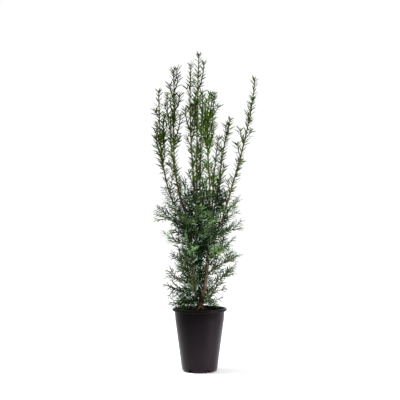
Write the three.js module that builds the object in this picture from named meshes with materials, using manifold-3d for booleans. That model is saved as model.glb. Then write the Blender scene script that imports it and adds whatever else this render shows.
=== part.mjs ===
// Young yew in a round nursery pot: a short forked trunk, a few upright boughs, and slim shoots and side
// sprays that are set all round with flat needles.
// Millimetres, +Z up. The origin is the middle of the pot's flat underside, and -Y is the front.
import * as THREE from "three";
import { mergeVertices } from "three/addons/utils/BufferGeometryUtils.js";
import Module from "manifold-3d";

const wasm = await Module();
wasm.setup();

// Driving dimensions of the pot
const POT_HEIGHT = 196;
const RIM_RADIUS = 85;
const RIM_HEIGHT = 8;
const NECK_RADIUS = 78;
const BAND_HEIGHT = 34; // the steeper band under the rim, which stops stacked pots from jamming
const BAND_RADIUS = 75;
const FOOT_RADIUS = 55;
const CORNER_WIDTH = 9; // where the wall turns in to the base
const CORNER_HEIGHT = 11;
const WALL = 2;
const FLOOR = 3;
const DRAIN_COUNT = 6;
const DRAIN_WIDTH = 13;
const DRAIN_HEIGHT = 10;
const DRAIN_TURN = -2; // degrees that the drains are turned from an even placing about the front
const POT_SIDES = 32;
const RIM_BOTTOM = POT_HEIGHT - RIM_HEIGHT;
const BAND_BOTTOM = RIM_BOTTOM - BAND_HEIGHT;

// Driving dimensions of the soil and the woody plant
const SOIL_TOP = 190;
const SOIL_SINK = 4; // lower at the wall, where watering has washed it
const SOIL_GAP = 0.6;
const GAP = 0.3; // between pieces that meet
const MERGE = 0.001; // points this near to each other are one
const SLIVER = 0.02; // no edge is kept that is thinner than this
const ROOT_DEPTH = 6; // the root crown is shaped from below the soil and cut off level with it
const ROOT_FLARE = { extra: 18, reach: 16 }; // added radius at the root, and how fast it dies away
const ROOT_RIDGES = { count: 5, depth: 0.22 };
const STUB = { height: 56, length: 17, radius: 4.2, lean: [-0.55, -0.35, 1] }; // a pruned side stem
const TRUNK_FACETS = { steps: 16, sides: 10 };
const LIMB_FACETS = { steps: 8, sides: 6 };

// Driving dimensions of the needled growth
const NEEDLE_LENGTH = 23;
const NEEDLE_VARIES = 0.15;
const NEEDLE_FOLDS_IN = 0.35; // how far the spread closes at the end of a twig
const NEEDLE_CLEAR = 3.1; // half of the room that a needle keeps to itself
const SHOOT_RADIUS = 2.4;
const FORK_RADIUS = 2;
const SPRAY_RADIUS = 2;
const TWIG_RADIUS = 1.7;
const TWIG_TIP = 1.5; // radius of a twig at its last needles
const TWIG_CLEAR = 2.5;
const TWIG_BARE = 5;
const FORK_BARE = 14;
const TWIG_RISE = 0.12; // how far a side twig's tip is lifted, for its length
const SHORTEST_TWIG = 20;
const COLLAR = 2.8; // how far a side twig swells out of the middle of its stem
const GOLDEN_TURN = THREE.MathUtils.degToRad(137.5);
const SIDE_TURN = 1.3; // from the top of a spray round to its side twigs, in radians
const ROLL = 1.5; // the most that one spray is rolled past another, in radians
const SPRAY_SLOPES = [0.75, 0.2]; // a spray's rise for its run, at its root and at its tip
const SEEDS_EACH = 100; // seeds that are set aside for each mass
const FORK_SEED = 70;

// How each kind of growth is set with twigs and needles: needles on some sides of the three-sided twig,
// turned from row to row, at a spread in degrees, after a bare length. Side twigs stand at a lean in degrees
// and shorten from the first share of twigLength to the last.
const UPRIGHT = {
  sides: [0, 1, 2],
  turn: Math.PI / 3,
  pitch: 12.5,
  spread: 54,
  bare: 8,
  twigEvery: 58,
  twigLength: 60,
  twigShare: [1.2, 0.15],
  twigLean: 34,
};
const SPREADING = {
  sides: [0, 2],
  turn: 0,
  pitch: 9.5,
  spread: 58,
  bare: 18,
  twigEvery: 31,
  twigLength: 60,
  twigShare: [1.2, 0.45],
  twigLean: 46,
};

// Limbs: each leaves another limb at a fraction of its length and runs to its own tip.
// leave and arrive are its directions at the two ends, and radius is given at the same ends.
const LIMBS = [
  { name: "trunk", base: [-4, 0, SOIL_TOP - ROOT_DEPTH], tip: [31, -8, 505], leave: [0.35, 0, 1],
    arrive: [0.05, -0.08, 1], radius: [6.4, 3.4], flare: true },
  { name: "stem_left", from: "trunk", at: 0.035, tip: [-45, -2, 492], leave: [-0.32, -0.06, 1],
    arrive: [-0.4, -0.02, 1], radius: [4.6, 2.9] },
  { name: "stem_back", from: "trunk", at: 0.045, tip: [0, 46, 480], leave: [0.02, 0.42, 1],
    arrive: [0.02, 0.08, 1], radius: [4.2, 2.7] },
  { name: "bough_far_left", from: "stem_left", at: 0.66, tip: [-82, 24, 522], leave: [-0.5, 0.2, 1],
    arrive: [-0.42, 0.06, 1], radius: [2.9, 2.4] },
  { name: "bough_tallest", from: "stem_left", at: 0.4, tip: [-9, 20, 540], leave: [0.1, 0.2, 1],
    arrive: [0, 0.02, 1], radius: [3, 2.5] },
  { name: "bough_centre_left", from: "stem_left", at: 0.56, tip: [-13, -30, 542], leave: [0.2, -0.34, 1],
    arrive: [-0.1, -0.06, 1], radius: [2.9, 2.4] },
  { name: "bough_right", from: "trunk", at: 0.72, tip: [49, 20, 520], leave: [0.16, 0.36, 1],
    arrive: [0.18, 0.1, 1], radius: [2.8, 2.3] },
  { name: "bough_far_right", from: "trunk", at: 0.58, tip: [83, -14, 512], leave: [0.45, -0.1, 1],
    arrive: [0.28, -0.04, 1], radius: [3, 2.5] },
  { name: "bough_back_right", from: "stem_back", at: 0.55, tip: [38, 62, 492], leave: [0.36, 0.2, 1],
    arrive: [0.1, 0.08, 1], radius: [2.7, 2.2] },
  { name: "bough_back_left", from: "stem_back", at: 0.6, tip: [-46, 66, 496], leave: [-0.46, 0.2, 1],
    arrive: [-0.34, 0.08, 1], radius: [2.7, 2.2] },
];

// Upright shoots: each goes on from a limb's tip. forks are side shoots that reach a tip of their own.
const SHOOTS = [
  { name: "shoot_far_left", from: "bough_far_left", tip: [-130, 40, 880], arrive: [-0.04, 0, 1], forks: [] },
  { name: "shoot_left", from: "stem_left", tip: [-82, -10, 939], arrive: [-0.06, 0, 1],
    forks: [{ at: 0.36, tip: [-99, -28, 857] }] },
  { name: "shoot_tallest", from: "bough_tallest", tip: [-2, 14, 993], arrive: [0.04, 0, 1],
    forks: [{ at: 0.74, tip: [13, 4, 962] }] },
  { name: "shoot_centre_left", from: "bough_centre_left", tip: [-26, -44, 953], arrive: [0.06, 0, 1],
    forks: [] },
  { name: "shoot_centre_right", from: "trunk", tip: [38, -32, 864], arrive: [0.24, -0.05, 1],
    forks: [{ at: 0.52, tip: [15, -44, 854] }, { at: 0.6, tip: [52, -14, 840] }] },
  { name: "shoot_right", from: "bough_right", tip: [99, 42, 792], arrive: [0.5, 0, 1],
    forks: [{ at: 0.3, tip: [46, 32, 736] }] },
  { name: "shoot_far_right", from: "bough_far_right", tip: [170, -24, 910], arrive: [0.12, 0, 1],
    forks: [{ at: 0.5, tip: [126, -36, 748] }] },
  { name: "shoot_back", from: "stem_back", tip: [8, 76, 830], arrive: [0.05, 0, 1], forks: [] },
  { name: "shoot_back_right", from: "bough_back_right", tip: [62, 90, 735], arrive: [0.2, 0, 1], forks: [] },
  { name: "shoot_back_left", from: "bough_back_left", tip: [-94, 92, 800], arrive: [0.02, 0, 1], forks: [] },
];

// Spreading sprays: each leaves the side of a limb at a height, and its tip is in the same frame.
const SPRAYS = [
  { name: "spray_left_upright", from: "stem_left", height: 474, tip: [-58, -42, 612] },
  { name: "spray_left_peak", from: "bough_far_left", height: 484, tip: [-98, -32, 574] },
  { name: "spray_left_top", from: "stem_left", height: 446, tip: [-146, -18, 488] },
  { name: "spray_left_back", from: "stem_left", height: 416, tip: [-100, 52, 456] },
  { name: "spray_left_high", from: "stem_left", height: 382, tip: [-104, -38, 410] },
  { name: "spray_left_middle", from: "stem_left", height: 318, tip: [-96, 20, 352] },
  { name: "spray_left_inner", from: "stem_left", height: 284, tip: [-78, -48, 334] },
  { name: "spray_left_low", from: "stem_left", height: 252, tip: [-114, -16, 284] },
  { name: "spray_left_foot", from: "stem_left", height: 222, tip: [-118, 26, 258] },
  { name: "spray_pot_left", from: "stem_left", height: 207, tip: [-70, -40, 226] },
  { name: "spray_front_peak", from: "bough_centre_left", height: 476, tip: [-22, -100, 562] },
  { name: "spray_front_top", from: "stem_left", height: 430, tip: [-24, -110, 472] },
  { name: "spray_front_left", from: "stem_left", height: 340, tip: [-42, -98, 384] },
  { name: "spray_front_low", from: "stem_left", height: 240, tip: [-40, -66, 300] },
  { name: "spray_front_centre", from: "trunk", height: 408, tip: [10, -106, 430] },
  { name: "spray_front_right", from: "trunk", height: 448, tip: [50, -108, 494] },
  { name: "spray_right_peak", from: "bough_right", height: 486, tip: [92, 56, 562] },
  { name: "spray_right_top", from: "bough_far_right", height: 470, tip: [130, 26, 530] },
  { name: "spray_right_high", from: "bough_far_right", height: 424, tip: [138, -40, 446] },
  { name: "spray_right_inner", from: "trunk", height: 398, tip: [88, -72, 440] },
  { name: "spray_right_middle", from: "trunk", height: 352, tip: [100, 34, 396] },
  { name: "spray_right_front", from: "trunk", height: 334, tip: [72, -74, 384] },
  { name: "spray_right_low", from: "trunk", height: 304, tip: [116, -8, 348] },
  { name: "spray_right_foot", from: "trunk", height: 234, tip: [113, -16, 314] },
  { name: "spray_right_fringe", from: "trunk", height: 216, tip: [88, 22, 256] },
  { name: "spray_pot_right", from: "trunk", height: 206, tip: [50, -34, 226] },
  { name: "spray_back_top", from: "stem_back", height: 455, tip: [6, 140, 536] },
  { name: "spray_back_left_high", from: "stem_back", height: 410, tip: [-72, 128, 460] },
  { name: "spray_back_right_high", from: "stem_back", height: 378, tip: [76, 126, 426] },
  { name: "spray_back_middle", from: "stem_back", height: 330, tip: [-22, 142, 368] },
  { name: "spray_back_right_low", from: "stem_back", height: 276, tip: [66, 104, 316] },
  { name: "spray_back_left_low", from: "stem_back", height: 250, tip: [-66, 96, 290] },
  { name: "spray_back_foot", from: "stem_back", height: 222, tip: [14, 112, 254] },
];

// Materials, as they look in daylight
const MATERIALS = {
  pot: new THREE.MeshStandardMaterial({ color: 0x2b282b, roughness: 0.55, metalness: 0 }),
  soil: new THREE.MeshStandardMaterial({ color: 0x2a1d15, roughness: 1, metalness: 0 }),
  bark: new THREE.MeshStandardMaterial({ color: 0x6b4634, roughness: 0.9, metalness: 0 }),
  upright: new THREE.MeshStandardMaterial({ color: 0x4a6a2e, roughness: 0.5, metalness: 0 }),
  spreading: new THREE.MeshStandardMaterial({ color: 0x2c4a2a, roughness: 0.5, metalness: 0 }),
};

const plant = new THREE.Group();
const container = new THREE.Group();
const wood = new THREE.Group();
const foliage = new THREE.Group();
plant.add(container, wood, foliage);

const limbs = new Map();
const occupied = []; // lines along limbs, twigs and needles, with their half widths

// Joining and cutting closed meshes

function toSolid(geometry) {
  const bare = geometry.clone();
  bare.deleteAttribute("normal");
  bare.deleteAttribute("uv");
  const merged = mergeVertices(bare, MERGE);
  const vertProperties = merged.attributes.position.array;
  const triVerts = new Uint32Array(merged.index.array);
  return new wasm.Manifold(new wasm.Mesh({ numProp: 3, vertProperties, triVerts }));
}

function toGeometry(solid) {
  const { vertProperties, triVerts } = solid.getMesh();
  const geometry = new THREE.BufferGeometry();
  geometry.setAttribute("position", new THREE.BufferAttribute(vertProperties, 3));
  geometry.setIndex(new THREE.BufferAttribute(triVerts, 1));
  geometry.computeVertexNormals();
  return geometry;
}

// The body itself, without the slivers that joining and cutting leave behind.
function largestBody(solid) {
  const bodies = toSolid(toGeometry(solid.simplify(SLIVER))).decompose();
  return bodies.reduce((most, body) => (body.volume() > most.volume() ? body : most));
}

function addMesh(group, name, geometry, material) {
  const mesh = new THREE.Mesh(geometry, material);
  mesh.name = name;
  group.add(mesh);
}

// Small helpers

const vector = (numbers) => new THREE.Vector3(...numbers);

// A repeatable number from 0 to 1 for a seed and a count.
function chance(seed, count) {
  const wave = Math.sin(seed * 12.9898 + count * 78.233) * 43758.5453;
  return wave - Math.floor(wave);
}

// A curve that leaves start and reaches tip in the two given directions.
function bow(start, leave, tip, arrive) {
  const third = start.distanceTo(tip) / 3;
  const first = leave.clone().normalize().multiplyScalar(third).add(start);
  const second = arrive.clone().normalize().multiplyScalar(-third).add(tip);
  return new THREE.CubicBezierCurve3(start, first, second, tip);
}

// Places along a curve, each with the way it runs there and two directions across it.
// The first direction across starts near to the given one and is carried on without twisting.
function framesAlong(curve, fractions, across) {
  let carried = across;
  return fractions.map((fraction) => {
    const centre = curve.getPointAt(fraction);
    const along = curve.getTangentAt(fraction);
    const normal = carried.clone().projectOnPlane(along).normalize();
    carried = normal;
    return { centre, along, normal, binormal: along.clone().cross(normal) };
  });
}

function evenFractions(steps) {
  return Array.from({ length: steps + 1 }, (_, step) => step / steps);
}

function linesAlong(curve, steps) {
  const points = curve.getSpacedPoints(steps);
  return points.slice(1).map((point, step) => new THREE.Line3(points[step], point));
}

// Remembers the room that a curve takes up, by its node and by its own number in that node.
function occupy(owner, seed, curve, radius, steps) {
  for (const line of linesAlong(curve, steps)) occupied.push({ owner, seed, line, radius });
}

function isClear(line, radius, isOwn) {
  return occupied.every((other) => {
    const room = radius + other.radius + GAP;
    return isOwn(other) || other.line.distanceSqToLine3(line) > room * room;
  });
}

// The pot: turned from one closed profile, with drains cut through the corner of its base

function potProfile() {
  const lip = RIM_HEIGHT / 2;
  const profile = new THREE.Path();
  profile.moveTo(0, 0);
  profile.lineTo(FOOT_RADIUS - CORNER_WIDTH, 0);
  profile.quadraticCurveTo(FOOT_RADIUS - 1, 0, FOOT_RADIUS, CORNER_HEIGHT);
  profile.lineTo(BAND_RADIUS, BAND_BOTTOM);
  profile.lineTo(NECK_RADIUS, RIM_BOTTOM);
  profile.lineTo(RIM_RADIUS - 1, RIM_BOTTOM);
  profile.lineTo(RIM_RADIUS, RIM_BOTTOM + lip);
  profile.quadraticCurveTo(RIM_RADIUS - 1, POT_HEIGHT, RIM_RADIUS - lip, POT_HEIGHT);
  profile.lineTo(NECK_RADIUS - WALL + 1, POT_HEIGHT - 1);
  profile.lineTo(NECK_RADIUS - WALL, RIM_BOTTOM);
  profile.lineTo(BAND_RADIUS - WALL, BAND_BOTTOM);
  profile.lineTo(FOOT_RADIUS - WALL, CORNER_HEIGHT + FLOOR / 2);
  profile.lineTo(FOOT_RADIUS - CORNER_WIDTH, FLOOR);
  profile.lineTo(0, FLOOR);
  return profile.getPoints(2);
}

// LatheGeometry turns about +Y, so the piece is stood up on +Z.
function turned(profile) {
  return new THREE.LatheGeometry(profile, POT_SIDES).rotateX(Math.PI / 2);
}

function makePot() {
  const drainReach = 2 * (CORNER_WIDTH + 2 * WALL);
  const pitch = (2 * Math.PI) / DRAIN_COUNT;
  let pot = toSolid(turned(potProfile()));
  for (let drain = 0; drain < DRAIN_COUNT; drain += 1) {
    const cutter = new THREE.BoxGeometry(drainReach, DRAIN_WIDTH, 2 * DRAIN_HEIGHT);
    cutter.translate(FOOT_RADIUS, 0, 0);
    cutter.rotateZ((drain + 0.5) * pitch - Math.PI / 2 + THREE.MathUtils.degToRad(DRAIN_TURN));
    pot = pot.subtract(toSolid(cutter));
  }
  addMesh(container, "pot", toGeometry(largestBody(pot)), MATERIALS.pot);
}

// The soil fills the pot to a low crown under the trunk.
function makeSoil() {
  const slack = WALL + SOIL_GAP;
  const edge = SOIL_TOP - SOIL_SINK;
  const edgeRadius = THREE.MathUtils.mapLinear(edge, BAND_BOTTOM, RIM_BOTTOM, BAND_RADIUS, NECK_RADIUS);
  const profile = [
    new THREE.Vector2(0, FLOOR + GAP),
    new THREE.Vector2(FOOT_RADIUS - CORNER_WIDTH - SOIL_GAP, FLOOR + GAP),
    new THREE.Vector2(FOOT_RADIUS - slack, CORNER_HEIGHT + FLOOR / 2 + GAP),
    new THREE.Vector2(BAND_RADIUS - slack, BAND_BOTTOM),
    new THREE.Vector2(edgeRadius - slack, edge),
    new THREE.Vector2(NECK_RADIUS / 2, SOIL_TOP),
    new THREE.Vector2(0, SOIL_TOP),
  ];
  addMesh(container, "soil", toGeometry(toSolid(turned(profile))), MATERIALS.soil);
}

// Limbs: each is a turned blank, as tall as its curve is long, which is then bent to the curve

function bentBlank(curve, radiusAt, { steps, sides }, ridgeAt) {
  const length = curve.getLength();
  const heights = evenFractions(steps).map((fraction) => fraction * length);
  const outline = heights.map((height) => new THREE.Vector2(radiusAt(height), height));
  const profile = [new THREE.Vector2(0, 0), ...outline, new THREE.Vector2(0, length)];
  const blank = new THREE.LatheGeometry(profile, sides);
  const frames = framesAlong(curve, evenFractions(steps), new THREE.Vector3(1, 0, 0));
  const position = blank.attributes.position;
  const point = new THREE.Vector3();
  for (let index = 0; index < position.count; index += 1) {
    point.fromBufferAttribute(position, index);
    const { centre, normal, binormal } = frames[Math.round((point.y / length) * steps)];
    const ridge = ridgeAt(Math.atan2(point.z, point.x), point.y);
    const bent = centre.clone().addScaledVector(normal, point.z * ridge);
    bent.addScaledVector(binormal, point.x * ridge);
    position.setXYZ(index, bent.x, bent.y, bent.z);
  }
  return blank;
}

function limbRadius(row, length, extra) {
  const [thick, thin] = row.radius;
  return (height) => {
    const flare = row.flare ? ROOT_FLARE.extra * Math.exp(-height / ROOT_FLARE.reach) : 0;
    return THREE.MathUtils.lerp(thick, thin, height / length) + flare + extra;
  };
}

// The buttresses of the root crown, which fade out up the trunk.
function rootRidges(angle, height) {
  const fade = Math.exp(-height / ROOT_FLARE.reach);
  return 1 + ROOT_RIDGES.depth * fade * Math.cos(ROOT_RIDGES.count * angle);
}

const noRidges = () => 1;

// All that lies below the cut at the foot of the trunk.
function belowSoil() {
  const depth = 2 * ROOT_DEPTH;
  const block = new THREE.BoxGeometry(RIM_RADIUS, RIM_RADIUS, depth);
  return toSolid(block.translate(0, 0, SOIL_TOP + GAP - depth / 2));
}

function stubOn(trunkCurve, extra) {
  const start = trunkCurve.getPointAt(STUB.height / trunkCurve.getLength());
  const end = vector(STUB.lean).setLength(STUB.length + extra).add(start);
  const facets = { steps: 1, sides: LIMB_FACETS.sides };
  return toSolid(bentBlank(new THREE.LineCurve3(start, end), () => STUB.radius + extra, facets, noRidges));
}

function limbSolid(row, curve, extra) {
  const radiusAt = limbRadius(row, curve.getLength(), extra);
  if (!row.flare) return toSolid(bentBlank(curve, radiusAt, LIMB_FACETS, noRidges));
  const trunk = toSolid(bentBlank(curve, radiusAt, TRUNK_FACETS, rootRidges));
  return trunk.add(stubOn(curve, extra)).subtract(belowSoil());
}

function makeLimb(row) {
  const carrier = limbs.get(row.from);
  const start = carrier ? carrier.curve.getPointAt(row.at) : vector(row.base);
  const curve = bow(start, vector(row.leave), vector(row.tip), vector(row.arrive));
  let solid = limbSolid(row, curve, 0);
  for (const { swollen } of limbs.values()) solid = solid.subtract(swollen);
  limbs.set(row.name, { curve, swollen: limbSolid(row, curve, GAP) });
  occupy(row.name, 0, curve, row.radius[0], LIMB_FACETS.steps);
  addMesh(wood, row.name, toGeometry(largestBody(solid)), MATERIALS.bark);
}

// Needled growth: a three-sided twig whose sides are drawn out, step by step, into flat needles

function needledTwig({ owner, curve, habit, radius, bare, collar, seed }) {
  const length = curve.getLength();
  const rows = Math.max(1, Math.floor((length - bare) / habit.pitch - 0.5));
  const fractions = [collar / length];
  for (let row = rows; row >= 0; row -= 1) fractions.push(1 - ((row + 0.5) * habit.pitch) / length);
  const frames = framesAlong(curve, fractions, acrossFor(curve, habit, seed));
  const isOwn = (other) => other.owner === owner && other.seed === seed;
  const vertices = [];
  const triangles = [];
  const addVertex = (point) => vertices.push(point.x, point.y, point.z) / 3 - 1;

  const corners = frames.map((frame, ring) => {
    const thickness = Math.max(TWIG_TIP, THREE.MathUtils.lerp(radius, TWIG_TIP, fractions[ring]));
    return [0, 1, 2].map((corner) => {
      const out = outwards(frame, ring * habit.turn + (corner * 2 * Math.PI) / 3);
      return addVertex(out.multiplyScalar(thickness).add(frame.centre));
    });
  });

  const [first, second, third] = corners[0];
  if (collar) {
    const root = addVertex(curve.getPointAt(0));
    triangles.push(root, second, first, root, third, second, root, first, third);
  } else {
    triangles.push(first, third, second);
  }
  for (let ring = 0; ring + 1 < frames.length; ring += 1) {
    for (let side = 0; side < 3; side += 1) {
      const [a, d] = [corners[ring][side], corners[ring + 1][side]];
      const [b, c] = [corners[ring][(side + 1) % 3], corners[ring + 1][(side + 1) % 3]];
      const angle = (ring + 0.5) * habit.turn + ((side + 0.5) * 2 * Math.PI) / 3;
      const size = 1 + NEEDLE_VARIES * (2 * chance(seed, ring * 3 + side) - 1);
      const needle = needleLine(frames[ring], angle, habit.spread, radius, size, ring / rows);
      if (ring > 0 && habit.sides.includes(side) && isClear(needle, NEEDLE_CLEAR, isOwn)) {
        occupied.push({ owner, seed, line: needle, radius: NEEDLE_CLEAR });
        const point = addVertex(needle.end);
        triangles.push(a, b, point, b, c, point, c, d, point, d, a, point);
      } else {
        triangles.push(a, b, d, b, c, d);
      }
    }
  }
  const tip = addVertex(curve.getPointAt(1));
  const last = corners.at(-1);
  for (let side = 0; side < 3; side += 1) triangles.push(last[side], last[(side + 1) % 3], tip);

  const geometry = new THREE.BufferGeometry();
  geometry.setAttribute("position", new THREE.Float32BufferAttribute(vertices, 3));
  return geometry.setIndex(triangles);
}

function outwards({ normal, binormal }, angle) {
  return normal.clone().multiplyScalar(Math.cos(angle)).addScaledVector(binormal, Math.sin(angle));
}

// The middle line of one needle, from the twig's skin to the needle's point.
// Needles near a twig's end stand closer to it.
function needleLine(frame, angle, widestSpread, radius, size, fraction) {
  const out = outwards(frame, angle);
  const spread = THREE.MathUtils.degToRad(widestSpread * (1 - NEEDLE_FOLDS_IN * fraction * fraction));
  const way = frame.along.clone().multiplyScalar(Math.cos(spread)).addScaledVector(out, Math.sin(spread));
  const root = frame.centre.clone().addScaledVector(out, radius);
  return new THREE.Line3(root, root.clone().addScaledVector(way, NEEDLE_LENGTH * size));
}

// A direction across a curve for its first row of needles: sideways on upright growth, upwards on a spray,
// which is rolled a little to show its face.
function acrossFor(curve, habit, seed) {
  if (habit === UPRIGHT) return new THREE.Vector3(1, 0, 0);
  const roll = (chance(seed, 60) - 0.5) * ROLL;
  return new THREE.Vector3(0, 0, 1).applyAxisAngle(curve.getTangentAt(0), roll);
}

// Side twigs by a seeded rule: evenly spaced up the stem, turned by the golden angle on upright shoots
// and to either side in turn on sprays, shorter towards the tip, and bent a little upwards.
function sideTwigs(owner, curve, habit, seed) {
  const length = curve.getLength();
  const count = Math.floor((length - habit.bare) / habit.twigEvery);
  const twigs = [];
  for (let index = 0; index < count; index += 1) {
    const share = (index + 0.3 + 0.5 * chance(seed, index)) / count;
    const at = THREE.MathUtils.lerp(habit.bare / length, 0.84, share);
    const [frame] = framesAlong(curve, [at], acrossFor(curve, habit, seed));
    const turn = habit === UPRIGHT ? index * GOLDEN_TURN + seed : (index % 2 ? -1 : 1) * SIDE_TURN;
    const lean = THREE.MathUtils.degToRad(habit.twigLean * (0.85 + 0.3 * chance(seed, index + 20)));
    const part = THREE.MathUtils.lerp(...habit.twigShare, share);
    const reach = habit.twigLength * part * (0.8 + 0.4 * chance(seed, index + 40));
    if (reach < SHORTEST_TWIG) continue;
    const way = frame.along.clone().multiplyScalar(Math.cos(lean));
    way.addScaledVector(outwards(frame, turn), Math.sin(lean));
    const tip = frame.centre.clone().addScaledVector(way, reach);
    tip.z += reach * TWIG_RISE;
    const twig = bow(frame.centre, way, tip, way.clone().add(new THREE.Vector3(0, 0, 0.5)));
    const size = { radius: TWIG_RADIUS, bare: TWIG_BARE, collar: COLLAR };
    twigs.push({ owner, curve: twig, habit, ...size, seed: seed + index + 1 });
  }
  return twigs;
}

function forkTwigs(owner, curve, forks, seed) {
  return forks.map(({ at, tip }, index) => {
    const start = curve.getPointAt(at);
    const end = vector(tip);
    const leave = end.clone().sub(start).normalize().lerp(curve.getTangentAt(at), 0.4);
    leave.x += Math.sign(end.x - start.x) * 0.3;
    const fork = bow(start, leave, end, new THREE.Vector3(0, 0, 1));
    const size = { radius: FORK_RADIUS, bare: FORK_BARE, collar: COLLAR };
    return { owner, curve: fork, habit: UPRIGHT, ...size, seed: seed + FORK_SEED + index };
  });
}

// Every mass is planned first, so that all stems and twigs have their room before any needle grows.
function planMass(owner, curve, habit, radius, forks, seed) {
  const stem = { owner, curve, habit, radius, bare: habit.bare, collar: 0, seed };
  occupy(owner, seed, curve, radius, 12);
  const twigs = [...forkTwigs(owner, curve, forks, seed), ...sideTwigs(owner, curve, habit, seed)];
  return { owner, stem, twigs };
}

// A shoot goes on from its limb's tip in the limb's own direction.
function planShoot(row, index) {
  const { curve } = limbs.get(row.from);
  const leave = curve.getTangentAt(1);
  const start = curve.getPointAt(1).addScaledVector(leave, GAP);
  const shoot = bow(start, leave, vector(row.tip), vector(row.arrive));
  return planMass(row.name, shoot, UPRIGHT, SHOOT_RADIUS, row.forks, SEEDS_EACH * (index + 1));
}

// A spray leaves the side of its limb, rises, and levels out towards its tip.
function planSpray(row, index) {
  const { curve } = limbs.get(row.from);
  const [low, high] = [curve.getPointAt(0).z, curve.getPointAt(1).z];
  const start = curve.getPointAt((row.height - low) / (high - low));
  const tip = vector(row.tip);
  const run = tip.clone().sub(start).setZ(0);
  const [leave, arrive] = SPRAY_SLOPES.map((slope) => run.clone().setZ(slope * run.length()));
  const seed = SEEDS_EACH * (SHOOTS.length + index + 1);
  return planMass(row.name, bow(start, leave, tip, arrive), SPREADING, SPRAY_RADIUS, [], seed);
}

function keepClearTwigs(mass) {
  const isOwn = (other) => other.owner === mass.owner;
  mass.twigs = mass.twigs.filter((twig) => {
    const clear = linesAlong(twig.curve, 6).every((line) => isClear(line, TWIG_CLEAR, isOwn));
    if (clear) occupy(mass.owner, twig.seed, twig.curve, twig.radius, 6);
    return clear;
  });
}

function makeMass({ owner, stem, twigs }, material) {
  let solid = toSolid(needledTwig(stem));
  for (const twig of twigs) solid = solid.add(toSolid(needledTwig(twig)));
  for (const { swollen } of limbs.values()) solid = solid.subtract(swollen);
  addMesh(foliage, owner, toGeometry(largestBody(solid)), material);
}

makePot();
makeSoil();
LIMBS.forEach(makeLimb);
const shoots = SHOOTS.map(planShoot);
const sprays = SPRAYS.map(planSpray);
[...shoots, ...sprays].forEach(keepClearTwigs);
shoots.forEach((mass) => makeMass(mass, MATERIALS.upright));
sprays.forEach((mass) => makeMass(mass, MATERIALS.spreading));

export default plant;
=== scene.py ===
# %% [markdown]
# # A young yew in a nursery pot
# A yew like this is sold about a metre tall: a few slim upright shoots, a skirt of flatter sprays, and a
# black plastic pot. The large pieces are few, so they are modelled by hand with mesh operators. The
# needles are thousands, so a rule grows them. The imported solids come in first, and their box is kept so
# that the finished plant can be held against it.

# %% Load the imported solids
import math
from collections import namedtuple

import bpy
import numpy as np
from mathutils import Euler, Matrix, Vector


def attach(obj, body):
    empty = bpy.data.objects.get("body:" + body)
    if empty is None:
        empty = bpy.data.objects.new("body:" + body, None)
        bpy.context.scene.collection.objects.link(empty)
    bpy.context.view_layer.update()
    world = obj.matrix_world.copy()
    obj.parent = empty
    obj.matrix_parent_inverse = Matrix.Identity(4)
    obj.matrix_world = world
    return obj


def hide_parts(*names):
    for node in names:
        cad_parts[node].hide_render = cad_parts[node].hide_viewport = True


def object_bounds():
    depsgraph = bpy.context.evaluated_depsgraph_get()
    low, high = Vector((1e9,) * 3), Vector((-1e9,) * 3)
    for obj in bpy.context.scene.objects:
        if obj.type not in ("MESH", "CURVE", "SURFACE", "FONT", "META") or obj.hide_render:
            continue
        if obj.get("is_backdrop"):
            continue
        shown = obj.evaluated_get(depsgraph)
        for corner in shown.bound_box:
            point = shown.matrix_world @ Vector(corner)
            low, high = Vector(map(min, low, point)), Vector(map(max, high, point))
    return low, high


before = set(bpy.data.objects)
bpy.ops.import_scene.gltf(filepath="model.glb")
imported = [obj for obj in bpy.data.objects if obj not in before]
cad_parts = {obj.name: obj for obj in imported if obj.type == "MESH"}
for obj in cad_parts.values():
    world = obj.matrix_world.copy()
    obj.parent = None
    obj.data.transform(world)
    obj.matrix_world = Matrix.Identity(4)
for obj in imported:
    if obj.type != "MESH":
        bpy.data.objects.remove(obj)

MM = 0.001
cad_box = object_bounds()
print(f"{len(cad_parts)} solids, {cad_box[1].z - cad_box[0].z:.3f} m tall")

# %% [markdown]
# ## The camera
# The picture was taken from a few metres off, level with the middle of the plant: the shoots stay
# upright, and the rim of the pot is a thin ellipse. A camera could be aimed by eye, but a level one gives
# a millimetre on the plant the same number of pixels from top to bottom. The lens follows from the width
# that the picture covers.

# %% Place the camera
CAMERA_DISTANCE = 3000 * MM
CAMERA_HEIGHT = 532.6 * MM
CAMERA_ASIDE = 1.2 * MM
PICTURE_WIDTH = 1248 * MM
FILM_WIDTH = 36

bpy.ops.object.camera_add(
    location=(CAMERA_ASIDE, -CAMERA_DISTANCE, CAMERA_HEIGHT), rotation=(math.pi / 2, 0, 0)
)
camera = bpy.context.object
camera.name = "front_camera"
camera.data.sensor_width = FILM_WIDTH
camera.data.lens = FILM_WIDTH * CAMERA_DISTANCE / PICTURE_WIDTH
bpy.context.scene.camera = camera
print(f"lens {camera.data.lens:.1f} mm")

# %% [markdown]
# ## Colours and nodes
# Colours are written as hex codes, which are sRGB, while shaders work in linear light, so one function
# turns one into the other. Node trees can be wired by hand. In a script one small function is enough: it
# adds a node, sets its options, and fills each input with a number, a hex colour, or a link from a socket
# or from the output that another node has in use.

# %% Helpers for materials
def linear(code):
    """A hex colour such as #2b4a2a as the linear values that a shader takes."""
    shares = [int(code[place : place + 2], 16) / 255 for place in (1, 3, 5)]
    return [s / 12.92 if s <= 0.04045 else ((s + 0.055) / 1.055) ** 2.4 for s in shares] + [1.0]


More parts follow.
